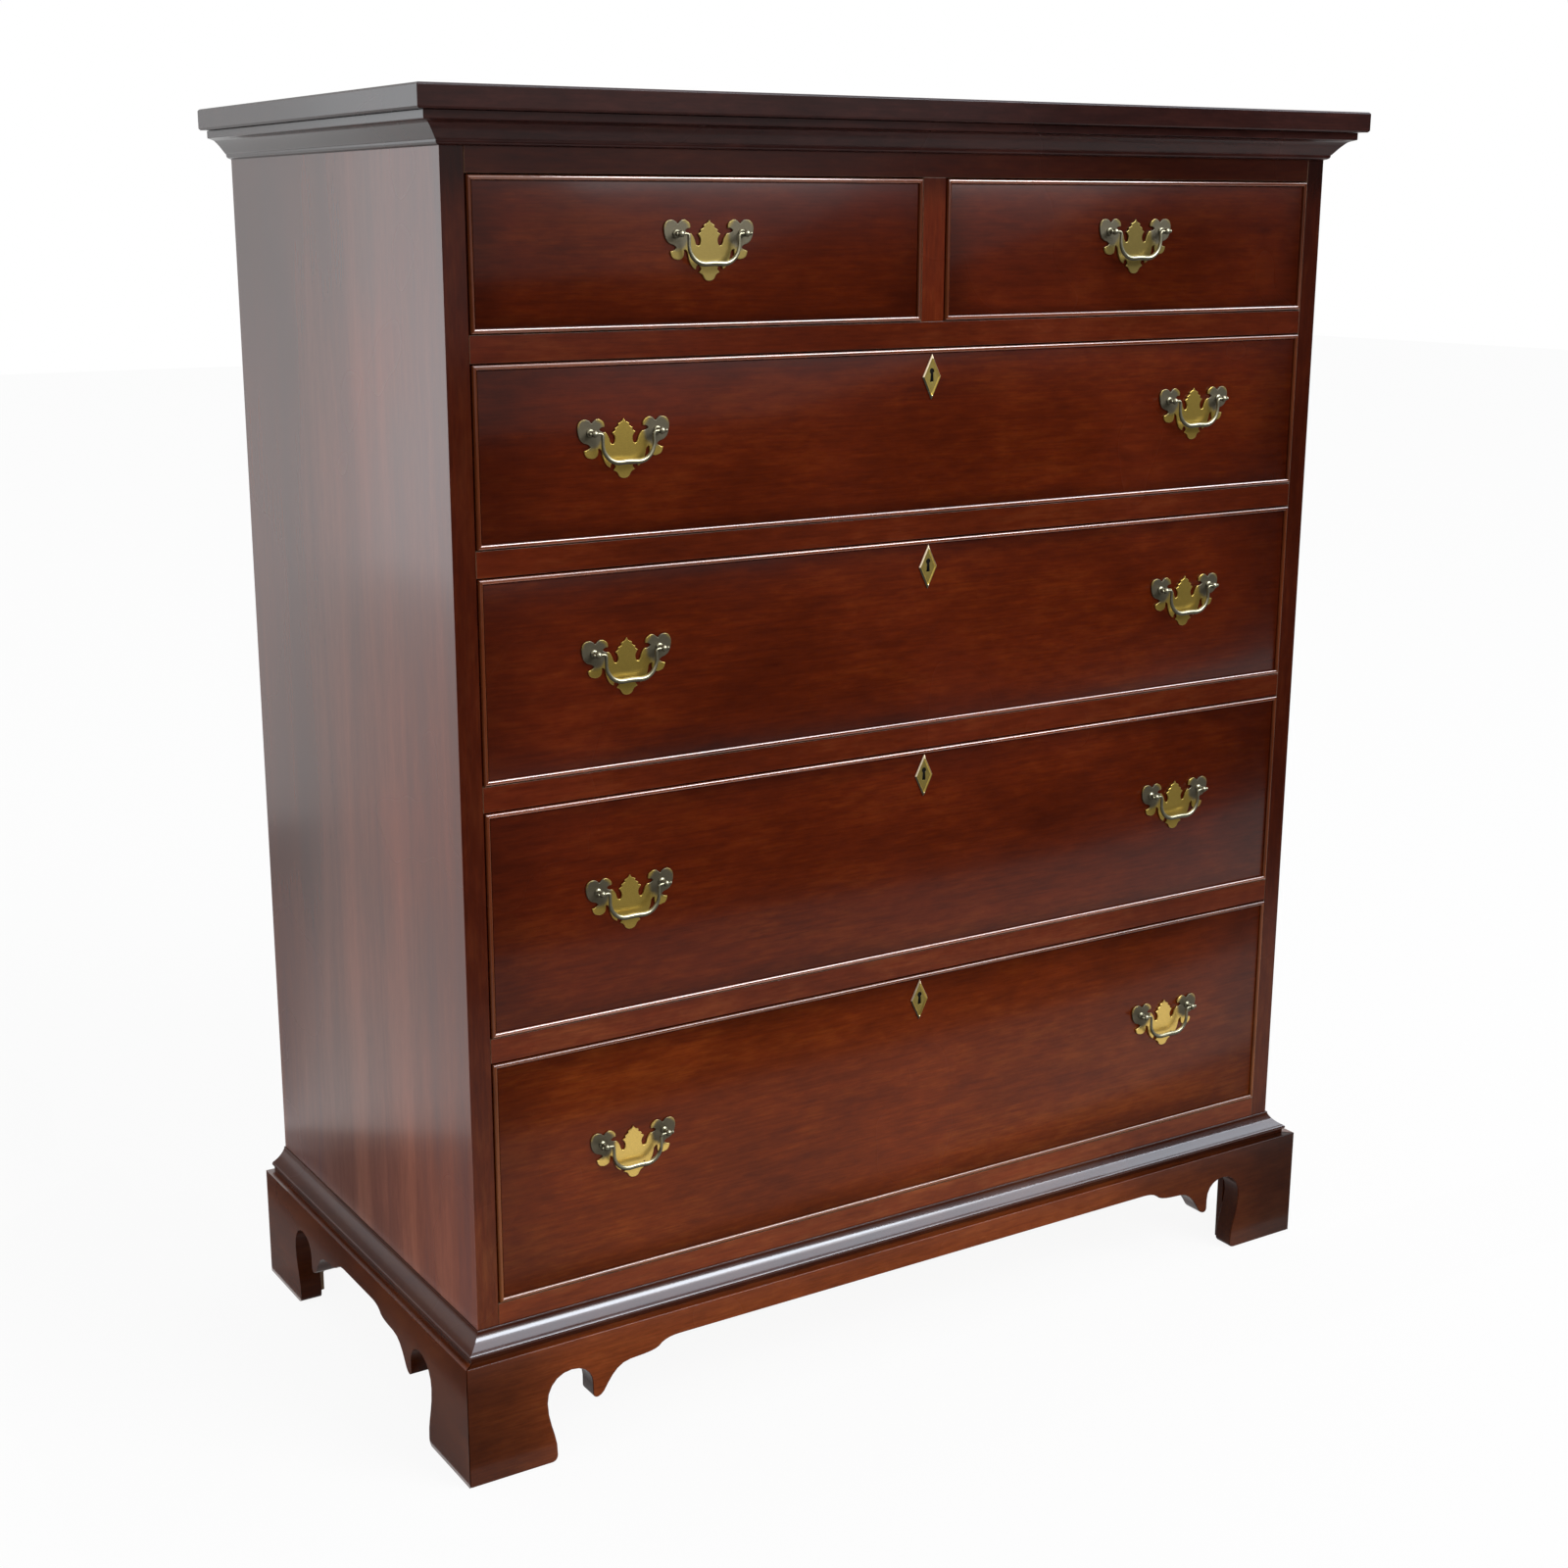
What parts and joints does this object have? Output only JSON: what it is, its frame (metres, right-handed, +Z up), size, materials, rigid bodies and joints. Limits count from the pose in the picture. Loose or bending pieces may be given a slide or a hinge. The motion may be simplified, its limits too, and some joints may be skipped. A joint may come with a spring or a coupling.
{
  "type": "chest of drawers",
  "caption": "Tall flat-front wooden chest: two small drawers over long graduated ones, swinging bail pulls on scrolled brass plates, mitred mouldings and a scroll-cut bracket base.",
  "frame": {"origin": "on the floor, at the middle of the outer box in plan", "axes": "+Z up, +X to the right of a person facing the drawers, which face -Y"},
  "size_m": [1.01, 0.506, 1.1882],
  "materials": {
    "case_wood": "dark reddish-brown mahogany, rubbed satin gloss",
    "drawer_front_wood": "dark reddish-brown mahogany, rubbed satin gloss, horizontal grain",
    "rail_wood": "redder mahogany, rubbed satin gloss",
    "base_wood": "reddish-brown mahogany, rubbed satin gloss",
    "drawer_lining_wood": "pale unfinished wood, planed",
    "unfinished_wood": "unfinished, slightly darkened",
    "plate_brass": "aged, dull gold with grey-green wings",
    "bail_brass": "aged, rubbed bright",
    "escutcheon_brass": "aged, dull gold"
  },
  "bodies": {
    "case": {"case_side_left": "case_wood", "case_side_right": "case_wood", "top_board": "case_wood", "back_panel": "unfinished_wood", "top_rail": "rail_wood", "bottom_rail": "rail_wood", "drawer_divider": "rail_wood", "crown_moulding": "case_wood", "base_moulding": "base_wood", "base_front": "base_wood", "base_left": "base_wood", "base_right": "base_wood", "rear_bracket_left": "unfinished_wood", "rear_bracket_right": "unfinished_wood", "dust_frame_1": "rail_wood", "dust_frame_2": "rail_wood", "dust_frame_3": "rail_wood", "dust_frame_4": "rail_wood"},
    "drawer_1": {"drawer_1_front": "drawer_front_wood", "drawer_1_box": "drawer_lining_wood", "drawer_1_bottom": "drawer_lining_wood", "pull_plate_1": "plate_brass"},
    "drawer_2": {"drawer_2_front": "drawer_front_wood", "drawer_2_box": "drawer_lining_wood", "drawer_2_bottom": "drawer_lining_wood", "pull_plate_2": "plate_brass"},
    "drawer_3": {"drawer_3_front": "drawer_front_wood", "drawer_3_box": "drawer_lining_wood", "drawer_3_bottom": "drawer_lining_wood", "pull_plate_3_left": "plate_brass", "pull_plate_3_right": "plate_brass", "escutcheon_3": "escutcheon_brass"},
    "drawer_4": {"drawer_4_front": "drawer_front_wood", "drawer_4_box": "drawer_lining_wood", "drawer_4_bottom": "drawer_lining_wood", "pull_plate_4_left": "plate_brass", "pull_plate_4_right": "plate_brass", "escutcheon_4": "escutcheon_brass"},
    "drawer_5": {"drawer_5_front": "drawer_front_wood", "drawer_5_box": "drawer_lining_wood", "drawer_5_bottom": "drawer_lining_wood", "pull_plate_5_left": "plate_brass", "pull_plate_5_right": "plate_brass", "escutcheon_5": "escutcheon_brass"},
    "drawer_6": {"drawer_6_front": "drawer_front_wood", "drawer_6_box": "drawer_lining_wood", "drawer_6_bottom": "drawer_lining_wood", "pull_plate_6_left": "plate_brass", "pull_plate_6_right": "plate_brass", "escutcheon_6": "escutcheon_brass"},
    "handle_1": {"bail_1": "bail_brass"},
    "handle_2": {"bail_2": "bail_brass"},
    "handle_3_left": {"bail_3_left": "bail_brass"},
    "handle_3_right": {"bail_3_right": "bail_brass"},
    "handle_4_left": {"bail_4_left": "bail_brass"},
    "handle_4_right": {"bail_4_right": "bail_brass"},
    "handle_5_left": {"bail_5_left": "bail_brass"},
    "handle_5_right": {"bail_5_right": "bail_brass"},
    "handle_6_left": {"bail_6_left": "bail_brass"},
    "handle_6_right": {"bail_6_right": "bail_brass"}
  },
  "joints": [
    {"name": "drawer_1_slide", "type": "slide", "parent": "case", "child": "drawer_1", "axis": [0, -1, 0], "range_m": [0, 0.34]},
    {"name": "drawer_2_slide", "type": "slide", "parent": "case", "child": "drawer_2", "axis": [0, -1, 0], "range_m": [0, 0.34]},
    {"name": "drawer_3_slide", "type": "slide", "parent": "case", "child": "drawer_3", "axis": [0, -1, 0], "range_m": [0, 0.34]},
    {"name": "drawer_4_slide", "type": "slide", "parent": "case", "child": "drawer_4", "axis": [0, -1, 0], "range_m": [0, 0.34]},
    {"name": "drawer_5_slide", "type": "slide", "parent": "case", "child": "drawer_5", "axis": [0, -1, 0], "range_m": [0, 0.34]},
    {"name": "drawer_6_slide", "type": "slide", "parent": "case", "child": "drawer_6", "axis": [0, -1, 0], "range_m": [0, 0.34]},
    {"name": "handle_1_swing", "type": "hinge", "parent": "drawer_1", "child": "handle_1", "pos_m": [-0.23325, -0.2328, 1.07625], "axis": [-1, 0, 0], "range_deg": [-12, 160]},
    {"name": "handle_2_swing", "type": "hinge", "parent": "drawer_2", "child": "handle_2", "pos_m": [0.23325, -0.2328, 1.07625], "axis": [-1, 0, 0], "range_deg": [-12, 160]},
    {"name": "handle_3_left_swing", "type": "hinge", "parent": "drawer_3", "child": "handle_3_left", "pos_m": [-0.3168, -0.2328, 0.91685], "axis": [-1, 0, 0], "range_deg": [-12, 160]},
    {"name": "handle_3_right_swing", "type": "hinge", "parent": "drawer_3", "child": "handle_3_right", "pos_m": [0.3168, -0.2328, 0.91685], "axis": [-1, 0, 0], "range_deg": [-12, 160]},
    {"name": "handle_4_left_swing", "type": "hinge", "parent": "drawer_4", "child": "handle_4_left", "pos_m": [-0.3168, -0.2328, 0.73205], "axis": [-1, 0, 0], "range_deg": [-12, 160]},
    {"name": "handle_4_right_swing", "type": "hinge", "parent": "drawer_4", "child": "handle_4_right", "pos_m": [0.3168, -0.2328, 0.73205], "axis": [-1, 0, 0], "range_deg": [-12, 160]},
    {"name": "handle_5_left_swing", "type": "hinge", "parent": "drawer_5", "child": "handle_5_left", "pos_m": [-0.3168, -0.2328, 0.52185], "axis": [-1, 0, 0], "range_deg": [-12, 160]},
    {"name": "handle_5_right_swing", "type": "hinge", "parent": "drawer_5", "child": "handle_5_right", "pos_m": [0.3168, -0.2328, 0.52185], "axis": [-1, 0, 0], "range_deg": [-12, 160]},
    {"name": "handle_6_left_swing", "type": "hinge", "parent": "drawer_6", "child": "handle_6_left", "pos_m": [-0.3168, -0.2328, 0.28625], "axis": [-1, 0, 0], "range_deg": [-12, 160]},
    {"name": "handle_6_right_swing", "type": "hinge", "parent": "drawer_6", "child": "handle_6_right", "pos_m": [0.3168, -0.2328, 0.28625], "axis": [-1, 0, 0], "range_deg": [-12, 160]}
  ]
}
